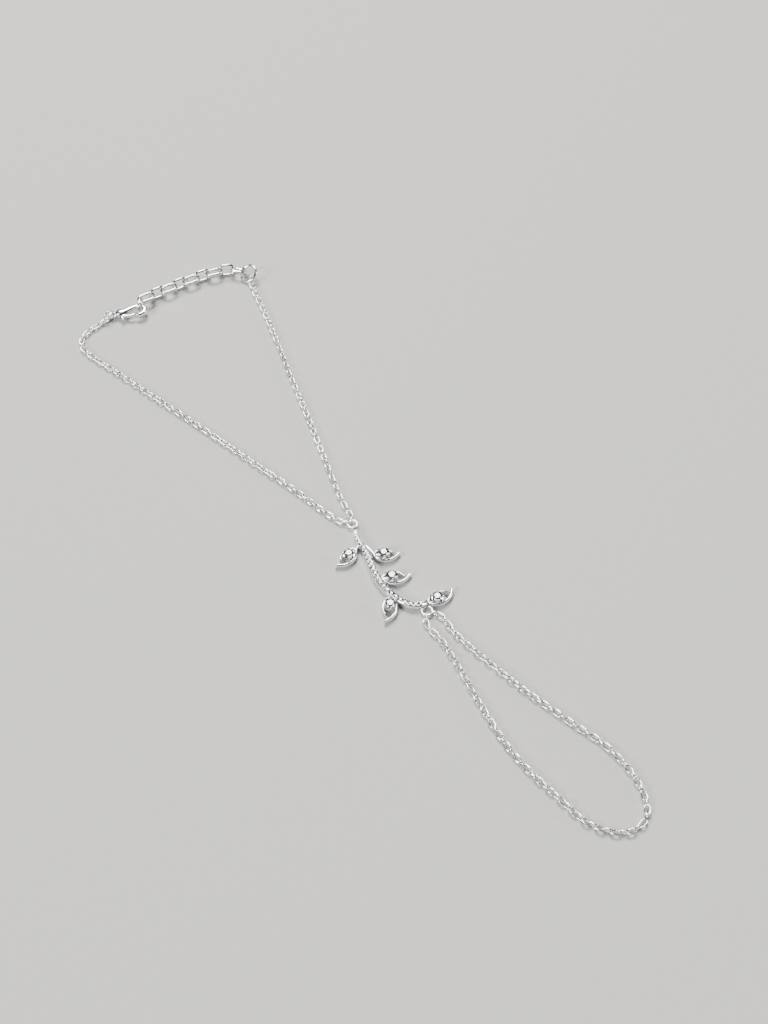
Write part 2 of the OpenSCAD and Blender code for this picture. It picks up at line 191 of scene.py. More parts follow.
base_high = leaf_high - 0.25
base_low = leaf_low + 0.05
groove_share = 0.68
groove_floor = 0.9
groove_top = stem_top + 1
# The bars: the turns that their round ends are drawn at, how far the ends sink, the shares of a section, and
# how square its edges are, where 2 is round
end_turns = (30, 55, 75)
end_drop = 0.3
foot_reach = 0.9
foot_height = 0.1
shoulder = 0.4
soft_edge = 2.2
stem_edge = 4.5
crisp_edge = 12
leaf_stone_size = 2.08
girdle_height = 1.75
seat_gap = 0.03
stone_room = [
    # height from the girdle, reach
    (-0.93, 0.02), (-0.06, leaf_stone_size / 2 + seat_gap), (0.06, leaf_stone_size / 2 + seat_gap),
    (0.35, leaf_stone_size * 0.28 + seat_gap),
]
gallery_profile = [
    # radius, height
    (0.7, 0.34), (0.74, 0.3), (0.98, 0.3), (1.06, 0.38), (1.12, 0.92), (1.08, 1.0), (0.76, 1.0), (0.7, 0.94),
]
prong_path = [
    # radius, height, half width
    (1.22, 0.3, 0.2), (1.25, 1.1, 0.21), (1.26, 1.62, 0.22), (1.2, 1.86, 0.25), (1.1, 2.0, 0.24),
]
prong_end_turns = (35, 60, 80)
finger_ring_place = Vector((1.36, -24.52, 0.65))
finger_ring_size = (2.4, 0.44)
eye_place = Vector((-0.2, -0.9, 0.68))
eye_size = (1.36, 0.34)
eye_heading = 66


def smooth_rows(rows, steps):
    """A smooth curve through the rows of a table."""
    rows = np.array(rows, float)
    last = len(rows) - 1
    curve = []
    for i in range(last):
        a, b, c, d = rows[max(i - 1, 0)], rows[i], rows[i + 1], rows[min(i + 2, last)]
        bent, twisted = 2 * a - 5 * b + 4 * c - d, 3 * b - a - 3 * c + d
        for t in np.arange(steps) / steps:
            curve.append((2 * b + (c - a) * t + bent * t**2 + twisted * t**3) / 2)
    return np.array(curve + [rows[last]])


def closed_shell(shell, rings):
    """Skins rings of corners into one closed shell, with a flat cap at each end."""
    made = [[shell.verts.new(corner) for corner in ring] for ring in rings]
    around = len(rings[0])
    for low, high in zip(made, made[1:]):
        for i in range(around):
            j = (i + 1) % around
            shell.faces.new((low[i], low[j], high[j], high[i]))
    shell.faces.new(made[0][::-1])
    shell.faces.new(made[-1])


def squared(share, edge):
    """A cosine or sine for a section that is squared off by its edge."""
    return math.copysign(abs(share) ** (2 / edge), share)


def bar_section(edge):
    """A bar's cross-section: share of the half width and of the height."""
    top = []
    for t in np.radians(np.linspace(180, 0, 9)):
        top.append((squared(math.cos(t), edge), shoulder + (1 - shoulder) * squared(math.sin(t), edge)))
    left = [(-foot_reach, 0.0), (-1.0, foot_height)]
    right = [(1.0, foot_height), (foot_reach, 0.0)]
    return left + top + right


def bar(shell, rows, low, high, edge=soft_edge, steps=5):
    """Adds a bar that lies along rows of x, y and width, with a rounded top and round ends."""
    curve = smooth_rows(rows, steps)
    along = np.gradient(curve[:, :2], axis=0)
    along /= np.linalg.norm(along, axis=1)[:, None]
    stations = [(curve[i, :2], along[i], curve[i, 2] / 2, 1.0) for i in range(len(curve))]
    for end, way in ((0, -1), (-1, 1)):
        middle, ahead, half, _ = stations[end]
        for turn in np.radians(end_turns):
            past = middle + way * ahead * half * math.sin(turn)
            shrunk = (past, ahead, half * math.cos(turn), 1 - end_drop + end_drop * math.cos(turn))
            stations.insert(0 if way < 0 else len(stations), shrunk)
    section = bar_section(edge)
    rings = []
    for middle, ahead, half, rise in stations:
        left = np.array((-ahead[1], ahead[0]))
        rings.append([(*(middle - left * a * half), low + (high - low) * h * rise) for a, h in section])
    closed_shell(shell, rings)


def lathe(shell, profile, matrix, steps=32):
    """Adds a ring turned from a closed profile of radius and height."""
    made = []
    for t in [2 * math.pi * i / steps for i in range(steps)]:
        corners = [matrix @ Vector((r * math.cos(t), r * math.sin(t), z)) for r, z in profile]
        made.append([shell.verts.new(corner) for corner in corners])
    for i in range(steps):
        near, far = made[i], made[(i + 1) % steps]
        for j in range(len(profile)):
            k = (j + 1) % len(profile)
            shell.faces.new((near[j], far[j], far[k], near[k]))


def wire_ring(shell, outer, wire, matrix, steps=36, sides=12):
    """Adds a round ring of round wire in a plane of its own."""
    turns = [2 * math.pi * i / sides for i in range(sides)]
    profile = [((outer - wire) / 2 + wire / 2 * math.cos(t), wire / 2 * math.sin(t)) for t in turns]
    lathe(shell, profile, matrix, steps)


def in_leaf(row):
    """The place of a leaf, whose long rim is on its own left unless it is mirrored."""
    x, y, heading, _, side = row
    turned = Matrix.Rotation(math.radians(heading), 4, "Z")
    return Matrix.Translation((x, y, 0)) @ turned @ Matrix.Diagonal((1, side, 1, 1))


def moved(shell, matrix, first):
    """Moves the corners that were added since the first one."""
    shell.verts.ensure_lookup_table()
    for corner in shell.verts[first:]:
        corner.co = matrix @ corner.co


def leaf_bars(rows, high, low=leaf_low):
    """One shell for each leaf, from rows drawn for a leaf of the drawn length."""
    shell = bmesh.new()
    for leaf in leaf_rows:
        first = len(shell.verts)
        grown = [(along * leaf[3] / drawn_leaf, aside, width) for along, aside, width in rows]
        bar(shell, grown, low, high)
        moved(shell, in_leaf(leaf), first)
    return shell


def prongs():
    """Four prongs round each leaf's stone, their tips leaning over it."""
    shell = bmesh.new()
    sides = 10
    path = smooth_rows(prong_path, 4)
    for leaf in leaf_rows:
        for quarter in range(4):
            turn = Matrix.Rotation(math.radians(45 + 90 * quarter), 4, "Z")
            matrix = in_leaf(leaf) @ Matrix.Translation(leaf_stone_place) @ turn
            rings = []
            stations = [tuple(row) for row in path]
            r, z, half = stations[-1]
            lean = math.atan2(path[-1][1] - path[-2][1], path[-1][0] - path[-2][0])
            for t in np.radians(prong_end_turns):
                on = half * math.sin(t)
                stations.append((r + on * math.cos(lean), z + on * math.sin(lean), half * math.cos(t)))
            for i, (r, z, half) in enumerate(stations):
                back = stations[max(i - 1, 0)]
                ahead = stations[min(i + 1, len(stations) - 1)]
                slope = math.atan2(ahead[1] - back[1], ahead[0] - back[0])
                ring = []
                for side in range(sides):
                    t = 2 * math.pi * side / sides
                    out = half * math.cos(t)
                    corner = (r - out * math.sin(slope), half * math.sin(t), z + out * math.cos(slope))
                    ring.append(matrix @ Vector(corner))
                rings.append(ring)
            closed_shell(shell, rings)
    return shell


def single_bar(rows, low, high, edge=soft_edge, steps=5):
    """A shell of one bar."""
    shell = bmesh.new()
    bar(shell, rows, low, high, edge, steps)
    return shell


def galleries():
    """The ring under each leaf's stone."""
    shell = bmesh.new()
    for leaf in leaf_rows:
        lathe(shell, gallery_profile, in_leaf(leaf) @ Matrix.Translation(leaf_stone_place))
    return shell


def vine_rings():
    """The fixed ring for the finger loop and the eye for the junction ring."""
    shell = bmesh.new()
    wire_ring(shell, *finger_ring_size, Matrix.Translation(finger_ring_place))
    upright = Matrix.Rotation(math.radians(eye_heading), 4, "Z") @ Matrix.Rotation(math.radians(90), 4, "X")
    wire_ring(shell, *eye_size, Matrix.Translation(eye_place) @ upright, sides=10)
    return shell


def stone_rooms():
    """The room for each leaf's stone, which the prongs are notched for."""
    shell = bmesh.new()
    turns = np.radians(np.arange(0, 360, 15))
    for leaf in leaf_rows:
        matrix = in_leaf(leaf) @ Matrix.Translation(leaf_stone_place + Vector((0, 0, girdle_height)))
        rings = []
        for z, reach in stone_room:
            rings.append([matrix @ Vector((reach * math.cos(t), reach * math.sin(t), z)) for t in turns])
        closed_shell(shell, rings)
    return shell


def solid(name, shell):
    """A scratch object from closed shells, with every face pointing out."""
    bmesh.ops.recalc_face_normals(shell, faces=shell.faces)
    mesh = bpy.data.meshes.new(name)
    shell.to_mesh(mesh)
    shell.free()
    made = bpy.data.objects.new(name, mesh)
    bpy.context.scene.collection.objects.link(made)
    return made


def one_casting(joined, cut, matrix, material, sharp=38):
    """The mesh of the shells joined, less those cut from it, put in place and shaded smooth."""
    parts = [solid("part", shell) for shell in joined + cut]
    body = parts[0]
    for i, part in enumerate(parts[1:], 1):
        fused = body.modifiers.new("fused", "BOOLEAN")
        fused.operation = "UNION" if i < len(joined) else "DIFFERENCE"
        fused.solver = "MANIFOLD"
        fused.object = part
    mesh = bpy.data.meshes.new_from_object(body.evaluated_get(bpy.context.evaluated_depsgraph_get()))
    for part in parts:
        bpy.data.objects.remove(part)
    mesh.transform(matrix)
    mesh.shade_smooth()
    mesh.set_sharp_from_angle(angle=math.radians(sharp))
    mesh.materials.clear()
    mesh.materials.append(material)
    return mesh


def finished(name, mesh, node_names, body="bracelet"):
    """A finished piece that stands for the frame's nodes and rides on a body."""
    piece = bpy.data.objects.new(name, mesh)
    bpy.context.scene.collection.objects.link(piece)
    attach(piece, body)
    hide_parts(*node_names)


def new_group(name, sockets_in, sockets_out):
    """A shader node group with its sockets, its input and its output."""
    group = bpy.data.node_groups.new(name, "ShaderNodeTree")
    for label, kind, value in sockets_in:
        socket = group.interface.new_socket(label, in_out="INPUT", socket_type=kind)
        socket.default_value = value
    for label, kind in sockets_out:
        group.interface.new_socket(label, in_out="OUTPUT", socket_type=kind)
    return group, group.nodes.new("NodeGroupInput"), group.nodes.new("NodeGroupOutput")


# The wear of polished silver: patches of haze from handling, a faint yellow dulling, and fine rubbed lines
bright_silver = (0.94, 0.94, 0.945, 1)
dull_silver = (0.72, 0.70, 0.67, 1)
patch_from = 0.38
patch_to = 0.68
line_stretch = (1.0, 0.12, 1.0)
line_strength = 0.35
number = "NodeSocketFloat"
handling, given, put_out = new_group(
    "handled_silver",
    [("Patches", number, 400.0), ("Rubbing", number, 6000.0), ("Polish", number, 0.1), ("Haze", number, 0.1),
     ("Dulling", number, 0.2)],
    [("Color", "NodeSocketColor"), ("Roughness", number), ("Height", number)],
)
place = wired(handling, "ShaderNodeTexCoord").outputs["Object"]
patches = wired(handling, "ShaderNodeTexNoise",
                {"Vector": place, "Scale": given.outputs["Patches"], "Detail": 3.0})
cleared = wired(handling, "ShaderNodeMapRange", {0: patches.outputs["Fac"], 1: patch_from, 2: patch_to})
hazed = wired(handling, "ShaderNodeMath",
              {0: cleared.outputs[0], 1: given.outputs["Haze"], 2: given.outputs["Polish"]},
              operation="MULTIPLY_ADD")
drawn_out = wired(handling, "ShaderNodeMapping", {"Vector": place, "Scale": line_stretch})
lines = wired(handling, "ShaderNodeTexNoise",
              {"Vector": drawn_out.outputs["Vector"], "Scale": given.outputs["Rubbing"], "Detail": 2.0})
dulled = wired(handling, "ShaderNodeMath", {0: cleared.outputs[0], 1: given.outputs["Dulling"]},
               operation="MULTIPLY")
handling.links.new(mixed(handling, dulled.outputs[0], bright_silver, dull_silver), put_out.inputs["Color"])
handling.links.new(hazed.outputs[0], put_out.inputs["Roughness"])
handling.links.new(lines.outputs["Fac"], put_out.inputs["Height"])


def silver(name, depth, **values):
    """Polished silver with its own wear. Depth is that of the rubbed lines, in metres."""
    material, tree, shader = new_material(name)
    wear = wired(tree, "ShaderNodeGroup", node_tree=handling)
    for label, value in values.items():
        wear.inputs[label].default_value = value
    rubbed = {"Height": wear.outputs["Height"], "Strength": line_strength, "Distance": depth}
    bump = wired(tree, "ShaderNodeBump", rubbed)
    tree.links.new(wear.outputs["Color"], shader.inputs["Base Color"])
    tree.links.new(wear.outputs["Roughness"], shader.inputs["Roughness"])
    tree.links.new(bump.outputs["Normal"], shader.inputs["Normal"])
    shader.inputs["Metallic"].default_value = 1.0
    return material


cast_silver = silver("cast_silver", 4e-6, Patches=900.0, Rubbing=9000.0, Polish=0.13, Haze=0.14,
                     Dulling=0.25)
groove_rows = [(x, y, width * groove_share) for x, y, width in stem_rows]
from_junction = Matrix.Translation((junction.x, junction.y, 0)) @ Matrix.Scale(mm, 4)
vine = one_casting(
    [
        single_bar(stem_rows, 0, stem_top, stem_edge, steps=6),
        single_bar(twig_rows, leaf_low, twig_top),
        single_bar(web_rows, leaf_low, leaf_high),
        leaf_bars(long_rim, leaf_high),
        leaf_bars(short_rim, short_rim_high),
        leaf_bars(leaf_base, base_high, base_low),
        galleries(),
        prongs(),
        vine_rings(),
    ],
    [single_bar(groove_rows, groove_floor, groove_top, crisp_edge, steps=6), stone_rooms()],
    from_junction,
    cast_silver,
)
finished("vine_casting", vine, ["vine"])

# The stones. Clear cubic zirconia in round brilliants: a row of small ones in the stem's groove and a
# larger one in each leaf. Each is ground with a table, stars, kites, girdle facets and a pointed pavilion,
# dropped into its seat and held by the prongs or grains bent over its edge.
# The cut, in shares of a stone's width, and how far round each stone is turned from the one before
table_share = 0.56
crown_share = 0.15
girdle_share = 0.03
pavilion_share = 0.43
star_reach = 0.375
low_reach = 0.12
mains = 8
turn_of_each = 2.4
stone_clear = (0.99, 0.99, 1.0, 1)
stone_tinted = (0.95, 0.97, 1.0, 1)
stone_clouds = {"Scale": 300.0, "Detail": 1.0}
stone_smears = {"Scale": 1500.0, "Detail": 2.0}
smear_roughness = 0.05
zirconia_bending = 2.16
up = (0, 0, 1)


def brilliant():
    """A round brilliant one unit across, its girdle's middle at the origin. Table up."""
    cut = bmesh.new()

    def round_of(count, reach, z, first=0.0):
        turns = [math.radians(first + 360 * i / count) for i in range(count)]
        return [cut.verts.new((reach * math.cos(t), reach * math.sin(t), z)) for t in turns]

    edge = 0.5
    half_girdle = girdle_share / 2
    half_main = 180 / mains
    flat = math.cos(math.radians(half_main))
    star_rise = (crown_share - half_girdle) * (edge - star_reach * flat) / (edge - table_share / 2)
    low_fall = (pavilion_share - half_girdle) * (1 - low_reach * flat / edge)
    table = round_of(mains, table_share / 2, crown_share)
    stars = round_of(mains, star_reach, half_girdle + star_rise, half_main)
    upper = round_of(2 * mains, edge, half_girdle)
    lower = round_of(2 * mains, edge, -half_girdle)
    lows = round_of(mains, low_reach, -half_girdle - low_fall, half_main)
    culet = cut.verts.new((0, 0, -pavilion_share))
    cut.faces.new(table)
    for i in range(mains):
        j = (i + 1) % mains
        here, between, there = 2 * i, 2 * i + 1, 2 * j
        cut.faces.new((table[i], stars[i], table[j]))
        cut.faces.new((table[i], stars[i - 1], upper[here], stars[i]))
        cut.faces.new((stars[i], upper[here], upper[between]))
        cut.faces.new((stars[i], upper[between], upper[there]))
        cut.faces.new((upper[here], lower[here], lower[between], upper[between]))
        cut.faces.new((upper[between], lower[between], lower[there], upper[there]))
        cut.faces.new((lows[i], lower[between], lower[here]))
        cut.faces.new((lows[i], lower[there], lower[between]))
        cut.faces.new((culet, lows[i], lower[here], lows[i - 1]))
    return solid("brilliant", cut)


def new_tree(name, **sizes):
    """A Geometry Nodes tree: its nodes, its named inputs and its result. Each size is a kind and a value."""
    tree = bpy.data.node_groups.new(name, "GeometryNodeTree")
    tree.interface.new_socket("Geometry", in_out="INPUT", socket_type="NodeSocketGeometry")
    for label, (kind, value) in sizes.items():
        socket = tree.interface.new_socket(label, in_out="INPUT", socket_type="NodeSocket" + kind)
        if value is not None:
            socket.default_value = value
    tree.interface.new_socket("Geometry", in_out="OUTPUT", socket_type="NodeSocketGeometry")
    return tree, tree.nodes.new("NodeGroupInput").outputs, tree.nodes.new("NodeGroupOutput").inputs[0]


def grown(name, tree, start, **values):
    """A plain mesh that a tree makes from a starting mesh with its inputs set."""
    seed = bpy.data.objects.new("seed", start)
    bpy.context.scene.collection.objects.link(seed)
    modifier = seed.modifiers.new("tree", "NODES")
    modifier.node_group = tree
    for socket in tree.interface.items_tree:
        if socket.in_out == "INPUT" and socket.name in values:
            modifier[socket.identifier] = values[socket.name]
    mesh = bpy.data.meshes.new_from_object(seed.evaluated_get(bpy.context.evaluated_depsgraph_get()))
    seed.modifiers.clear()
    bpy.data.objects.remove(seed)
    mesh.name = name
    return mesh


# Tells a node's loose solids apart, by the number of the island that each corner is in
part_tree, given, result = new_tree("tell_solids_apart")
merged = wired(part_tree, "GeometryNodeMergeByDistance", {"Geometry": given["Geometry"], "Distance": 1e-6})
island = wired(part_tree, "GeometryNodeInputMeshIsland").outputs["Island Index"]
told = wired(part_tree, "GeometryNodeStoreNamedAttribute",
             {"Geometry": merged.outputs["Geometry"], "Name": "solid", "Value": island},
             data_type="INT", domain="POINT")
part_tree.links.new(told.outputs["Geometry"], result)


def lies(*node_names):
    """Where each loose solid of some nodes lies: centre, long axis, thin axis and extents, thin first."""
    found = []
    for node in node_names:
        mesh = grown("solids", part_tree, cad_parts[node].data)
        corners = np.empty(len(mesh.vertices) * 3)
        mesh.vertices.foreach_get("co", corners)
        corners = corners.reshape(-1, 3)
        solid_of = np.empty(len(mesh.vertices), np.int32)
        mesh.attributes["solid"].data.foreach_get("value", solid_of)
        for which in range(solid_of.max() + 1):
            own = corners[solid_of == which]
            middle = own.mean(axis=0)
            axes = np.linalg.eigh(np.cov((own - middle).T))[1]
            spans = (own - middle) @ axes
            low, high = spans.min(axis=0), spans.max(axis=0)
            found.append((middle + axes @ ((low + high) / 2), axes[:, 2], axes[:, 0], high - low))
        bpy.data.meshes.remove(mesh)
    return found


def places(centres, along, facing, sizes=None):
    """A mesh of points that carry the way a shape lies at each."""
    mesh = bpy.data.meshes.new("places")
    mesh.from_pydata([tuple(c) for c in centres], [], [])
    for label, ways in (("along", along), ("facing", facing)):
        carried = mesh.attributes.new(label, "FLOAT_VECTOR", "POINT")
        carried.data.foreach_set("vector", np.array(ways, float).ravel())
    if sizes is not None:
        mesh.attributes.new("size", "FLOAT", "POINT").data.foreach_set("value", np.array(sizes, float))
    return mesh


def set_at_places(tree, points, shape, scale, material, result):
    """Ends a tree: the shape at each point, turned to its two ways, made real and given its material."""
    ways = {}
    for label, way in (("Primary Axis", "facing"), ("Secondary Axis", "along")):
        ways[label] = wired(tree, "GeometryNodeInputNamedAttribute", {"Name": way},
                            data_type="FLOAT_VECTOR").outputs["Attribute"]
    turned = wired(tree, "FunctionNodeAxesToRotation", ways, primary_axis="Z", secondary_axis="X")
    put = wired(tree, "GeometryNodeInstanceOnPoints", {
        "Points": points, "Instance": shape, "Rotation": turned.outputs["Rotation"], "Scale": scale,
    })
    real = wired(tree, "GeometryNodeRealizeInstances", {"Geometry": put.outputs["Instances"]})
    made = wired(tree, "GeometryNodeSetMaterial",
                 {"Geometry": real.outputs["Geometry"], "Material": material})
    tree.links.new(made.outputs["Geometry"], result)


seat_tree, given, result = new_tree("shapes_in_seats", Shape=("Object", None), Material=("Material", None))
shape = wired(seat_tree, "GeometryNodeObjectInfo", {"Object": given["Shape"]}).outputs["Geometry"]
sizes = wired(seat_tree, "GeometryNodeInputNamedAttribute", {"Name": "size"}, data_type="FLOAT")
size = sizes.outputs["Attribute"]
set_at_places(seat_tree, given["Geometry"], shape, size, given["Material"], result)

clear_stone, tree, shader = new_material("clear_zirconia")
place = wired(tree, "ShaderNodeTexCoord").outputs["Object"]
tint = wired(tree, "ShaderNodeTexNoise", {"Vector": place, **stone_clouds}).outputs["Fac"]
tree.links.new(mixed(tree, tint, stone_clear, stone_tinted), shader.inputs["Base Color"])
smears = wired(tree, "ShaderNodeTexNoise", {"Vector": place, **stone_smears}).outputs["Fac"]
smeared = wired(tree, "ShaderNodeMapRange", {0: smears, 3: 0.0, 4: smear_roughness})
tree.links.new(smeared.outputs[0], shader.inputs["Roughness"])
shader.inputs["Transmission Weight"].default_value = 1.0
shader.inputs["IOR"].default_value = zirconia_bending

cut_stone = brilliant()


def stones(name, *node_names):
    """Brilliants in the places of some nodes' stones."""
    girdles = []
    across = []
    ways = []
    for i, (centre, _, _, extents) in enumerate(lies(*node_names)):
        across.append(max(extents))
        girdles.append((centre[0], centre[1], centre[2] + (pavilion_share - crown_share) / 2 * across[-1]))
        ways.append((math.cos(turn_of_each * i), math.sin(turn_of_each * i), 0))
    points = places(girdles, ways, [up] * len(girdles), across)
    mesh = grown(name, seat_tree, points, Shape=cut_stone, Material=clear_stone)
    finished(name, mesh, node_names)
    return np.array(girdles), np.array(across)


stones("leaf_stones", *[f"leaf_stone_{i}" for i in range(1, 6)])
seats, widths = stones("stem_stones", "pave_stones")
bpy.data.objects.remove(cut_stone)

# The stem's grains. Beads of the stem's own silver, raised with a graver and burnished round: a pair between
# each small stone and the next, which holds both. Their place aside and radius are shares of its width.
grain_aside = 0.46
grain_reach = 0.17
grain_height = 1.44


def round_bead(sides=10, levels=7):
    """A bead one unit in radius, with a corner at its top and one at its bottom."""
    shell = bmesh.new()
    top, bottom = shell.verts.new((0, 0, 1)), shell.verts.new((0, 0, -1))
    turns = [math.pi * (2 * i + 1) / sides for i in range(sides)]
    rings = []
    for fall in [math.pi * i / levels for i in range(1, levels)]:
        reach, z = math.sin(fall), math.cos(fall)
        rings.append([shell.verts.new((reach * math.cos(t), reach * math.sin(t), z)) for t in turns])
    for i in range(sides):
        j = (i + 1) % sides
        shell.faces.new((top, rings[0][i], rings[0][j]))
        for high, low in zip(rings, rings[1:]):
            shell.faces.new((high[i], low[i], low[j], high[j]))
        shell.faces.new((bottom, rings[-1][j], rings[-1][i]))
    for face in shell.faces:
        face.smooth = True
    return solid("bead", shell)


# From the eye down the stem
order = np.argsort(-seats[:, 1])
seats, widths = seats[order], widths[order]
between = (seats[:-1] + seats[1:]) / 2
shared = (widths[:-1] + widths[1:]) / 2
ahead = (seats[1:] - seats[:-1]) / np.linalg.norm(seats[1:] - seats[:-1], axis=1)[:, None]
aside = np.stack([-ahead[:, 1], ahead[:, 0], 0 * shared], axis=1)
grains = np.concatenate([between + side * grain_aside * shared[:, None] * aside for side in (-1, 1)])
grains[:, 2] = grain_height * mm
points = places(grains, np.tile(ahead, (2, 1)), [up] * len(grains), grain_reach * np.tile(shared, 2))
bead = round_bead()
mesh = grown("stem_grains", seat_tree, points, Shape=bead, Material=cast_silver)
finished("stem_grains", mesh, ["vine"])
bpy.data.objects.remove(bead)

# The chains. Oval links of drawn silver wire, each bent round a former, threaded through the last and
# soldered, and each lying across the one before. Two such chains go round the wrist, and one whose two ends
# hang from the vine's fixed ring goes round the finger.
link_tree, given, result = new_tree(
    "wire_links", **{
        "Link length": ("Float", 0.002), "Link width": ("Float", 0.001), "Wire": ("Float", 0.0003),
        "Steps": ("Int", 14), "Sides": ("Int", 6), "Seam": ("Float", 0.0), "Material": ("Material", None),
    })


def reckoned(operation, a, b):
    """The result of one operation on two numbers in the links' tree."""
    return wired(link_tree, "ShaderNodeMath", {0: a, 1: b}, operation=operation).outputs[0]


bend = reckoned("MULTIPLY", reckoned("SUBTRACT", given["Link width"], given["Wire"]), 0.5)
straight = reckoned("MULTIPLY", reckoned("SUBTRACT", given["Link length"], given["Link width"]), 0.5)
loop = wired(link_tree, "GeometryNodeCurvePrimitiveCircle", {"Resolution": given["Steps"], "Radius": bend})
half_step = reckoned("DIVIDE", math.pi, given["Steps"])
turned = wired(link_tree, "GeometryNodeTransform", {
    "Geometry": loop.outputs["Curve"],
    "Rotation": wired(link_tree, "ShaderNodeCombineXYZ", {"Z": half_step}).outputs["Vector"],
})
at = wired(link_tree, "ShaderNodeSeparateXYZ", {0: wired(link_tree, "GeometryNodeInputPosition").outputs[0]})
which_end = wired(link_tree, "ShaderNodeMath", {0: at.outputs["X"]}, operation="SIGN").outputs[0]
apart = wired(link_tree, "ShaderNodeCombineXYZ", {"X": reckoned("MULTIPLY", which_end, straight)})
oval = wired(link_tree, "GeometryNodeSetPosition",
             {"Geometry": turned.outputs["Geometry"], "Offset": apart.outputs["Vector"]})
at_seam = reckoned("COMPARE", wired(link_tree, "GeometryNodeInputIndex").outputs[0], 0)
nipped = wired(link_tree, "GeometryNodeSetCurveRadius", {
    "Curve": oval.outputs["Geometry"],
    "Radius": reckoned("SUBTRACT", 1.0, reckoned("MULTIPLY", at_seam, given["Seam"])),
})
section = wired(link_tree, "GeometryNodeCurvePrimitiveCircle",
                {"Resolution": given["Sides"], "Radius": reckoned("MULTIPLY", given["Wire"], 0.5)})
wire = wired(link_tree, "GeometryNodeCurveToMesh",
             {"Curve": nipped.outputs["Curve"], "Profile Curve": section.outputs["Curve"]})
smooth = wired(link_tree, "GeometryNodeSetShadeSmooth", {0: wire.outputs["Mesh"]})
set_at_places(link_tree, given["Geometry"], smooth.outputs[0], (1, 1, 1), given["Material"], result)


def links(name, node_names, length, width, wire, steps, sides, material, seam=0.0):
    """Wire links, or rings where the length is the width, in the places of some nodes' links."""
    centres, along, facing, _ = zip(*lies(*node_names))
    values = {"Link length": length * mm, "Link width": width * mm, "Wire": wire * mm, "Steps": steps,
              "Sides": sides, "Seam": seam, "Material": material}
    mesh = grown(name, link_tree, places(centres, along, facing), **values)
    finished(name, mesh, node_names)


wire_silver = silver("drawn_silver", 2e-6, Patches=500.0, Rubbing=12000.0, Polish=0.1, Haze=0.12,
                     Dulling=0.2)
fine_link = {"length": 2.06, "width": 1.28, "wire": 0.3, "steps": 14, "sides": 6, "material": wire_silver}
links("fine_chain_clasp_side", ["wrist_chain_clasp_side"], **fine_link)
links("fine_chain_extender_side", ["wrist_chain_extender_side"], **fine_link)
links("finger_loop", ["finger_chain"], **fine_link)

# The rings. Each is a turn of heavier round wire, cut from a coil, closed round its neighbours and soldered,
# which leaves a slight nip at the seam.
ring_steps = 72
ring_nip = 0.08
ring_rows = [
    # piece, node, size across, wire, sides
    ("ring_at_vine", "junction_ring", 2.2, 0.38, 12),
    ("ring_at_clasp", "clasp_ring", 2.8, 0.42, 12),
    ("ring_at_extender", "extender_joining_ring", 2.8, 0.42, 12),
    ("ring_at_end", "extender_end_ring", 4.4, 0.66, 14),
]
for name, node, across, thick, sides in ring_rows:
    links(name, [node], across, across, thick, ring_steps, sides, wire_silver, ring_nip)

# The extender. Ten wide oval links of thick wire, soldered shut and tumbled bright, so that the clasp can
# close round any of them. The first one is in its hook.
wide_link = {"length": 4.24, "width": 3.0, "wire": 0.64, "steps": 32, "sides": 12, "material": wire_silver}
links("extender", [f"extender_link_{i}" for i in range(1, 11)], **wide_link)

# The clasp's body. A lobster clasp cast in one piece: a tail eye, a thick housing with a slot, a back that
# thins into the hook, and a pin through the housing, filed flush and burnished.
clasp_at = (-15.36, 77.49, 0.9)
clasp_heading = -24
clasp_slope = 5
tail_eye = (1.9, 0.5)
spine_rows = [
    # x, y, half width, half thickness
    (0.62, 0.12, 0.35, 0.36), (0.8, 0.12, 0.62, 0.58), (1.15, 0.13, 0.92, 0.78), (1.7, 0.15, 1.05, 0.86),
    (2.3, 0.22, 0.96, 0.84), (2.9, 0.44, 0.76, 0.74), (3.6, 0.82, 0.6, 0.64), (4.4, 1.15, 0.53, 0.58),
    (5.2, 1.34, 0.51, 0.55), (5.9, 1.4, 0.53, 0.54), (6.55, 1.22, 0.55, 0.55), (7.03, 0.75, 0.56, 0.56),
    (7.2, 0.1, 0.55, 0.55), (7.03, -0.55, 0.53, 0.54), (6.55, -1.02, 0.5, 0.52), (5.9, -1.2, 0.46, 0.5),
    (5.5, -1.13, 0.42, 0.46),
]
lever_rows = [
    # x, y, width
    (1.8, -0.25, 0.9), (2.5, -0.75, 0.85), (3.5, -1.1, 0.66), (4.3, -1.1, 0.6), (4.85, -0.95, 0.55),
]
thumb_rows = [(2.3, -0.8, 0.6), (2.1, -1.5, 0.5), (2.35, -1.8, 0.42)]
pivot_at = (1.8, -0.25)
pivot_reach = 0.225
pin_profile = [
    # radius, height
    (0.08, -0.89), (0.8 * pivot_reach, -0.88), (pivot_reach, -0.84), (pivot_reach, 0.84),
    (0.8 * pivot_reach, 0.88), (0.08, 0.89),
]
lever_thick = 0.76
lever_room = 0.06
lever_turns = (0, 6, 12, 18, 24)
clasp_edge = 2.5


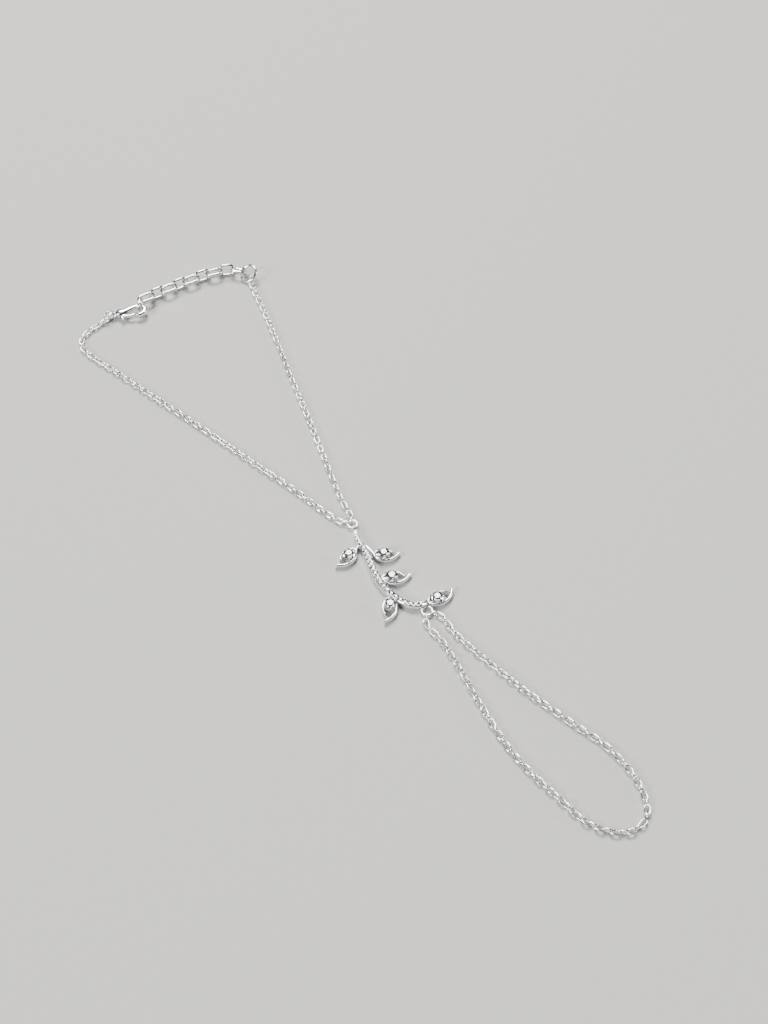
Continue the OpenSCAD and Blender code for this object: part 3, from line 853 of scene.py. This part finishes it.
def tapering_wire(rows, edge, sides=20):
    """A wire along rows of x, y, half width and half thickness, its ends rounded off."""
    shell = bmesh.new()
    curve = smooth_rows(rows, 4)
    along = np.gradient(curve[:, :2], axis=0)
    along /= np.linalg.norm(along, axis=1)[:, None]
    stations = list(zip(curve, along))
    for end, way in ((0, -1), (-1, 1)):
        row, ahead = stations[end]
        for turn in np.radians(end_turns):
            on = row[:2] + way * ahead * row[2] * math.sin(turn)
            past = np.array([*on, *(row[2:] * math.cos(turn))])
            stations.insert(0 if way < 0 else len(stations), (past, ahead))
    turns = [2 * math.pi * i / sides for i in range(sides)]
    section = [(squared(math.cos(t), edge), squared(math.sin(t), edge)) for t in turns]
    rings = []
    for row, ahead in stations:
        left = np.array((-ahead[1], ahead[0]))
        rings.append([(*(row[:2] + left * a * row[2]), b * row[3]) for a, b in section])
    closed_shell(shell, rings)
    return shell


def opened(shell, degrees):
    """The shell turned about the pin, as the lever turns."""
    pin = Matrix.Translation((*pivot_at, 0))
    moved(shell, pin @ Matrix.Rotation(math.radians(degrees), 4, "Z") @ pin.inverted(), 0)
    return shell


def round_pivot(profile, steps=24):
    """A closed shell turned about the pivot, from a profile of radius and height."""
    shell = bmesh.new()
    pivot = Matrix.Translation((*pivot_at, 0))
    turns = [2 * math.pi * i / steps for i in range(steps)]
    rings = [[pivot @ Vector((r * math.cos(t), r * math.sin(t), z)) for t in turns] for r, z in profile]
    closed_shell(shell, rings)
    return shell


def slot_cuts():
    """The slot in the housing that the lever and its thumb knob swing in."""
    half = lever_thick / 2 + lever_room

    def cut(rows):
        wider = [(x, y, width + 4 * lever_room) for x, y, width in rows]
        return single_bar(wider, -half, half, crisp_edge)

    return [opened(cut(lever_rows), turn) for turn in lever_turns] + [cut(thumb_rows)]


def tail():
    """The eye at the tail, for the ring of the chain."""
    shell = bmesh.new()
    wire_ring(shell, *tail_eye, Matrix(), steps=32)
    return shell


leaning = Euler((0, math.radians(-clasp_slope), math.radians(clasp_heading))).to_matrix().to_4x4()
from_clasp = from_junction @ Matrix.Translation(clasp_at) @ leaning
clasp_silver = silver("clasp_silver", 4e-6, Patches=500.0, Rubbing=8000.0, Polish=0.12, Haze=0.14,
                      Dulling=0.22)
clasp_parts = [tapering_wire(spine_rows, clasp_edge), tail()]
clasp = one_casting(clasp_parts, slot_cuts(), from_clasp, clasp_silver)
finished("clasp", clasp, ["clasp_body"])
pin = one_casting([round_pivot(pin_profile)], [], from_clasp, clasp_silver)
finished("clasp_pin", pin, ["clasp_body"])

# The clasp's lever. A stamped silver tongue with a thumb knob, its edges rolled round, which swings on the
# pin and is pressed against the hook's tip by a spring inside the housing.
pivot_room = 0.03
bore_profile = [(pivot_reach + pivot_room, -1), (pivot_reach + pivot_room, 1)]
lever_edge = 3.2


def rolled_bar(rows):
    """A bar of the lever's thickness, rounded above and below."""
    return tapering_wire([(x, y, width / 2, lever_thick / 2) for x, y, width in rows], lever_edge)


lever_parts = [rolled_bar(lever_rows), rolled_bar(thumb_rows)]
lever = one_casting(lever_parts, [round_pivot(bore_profile)], from_clasp, clasp_silver)
finished("lever", lever, ["clasp_lever"], body="clasp_lever")
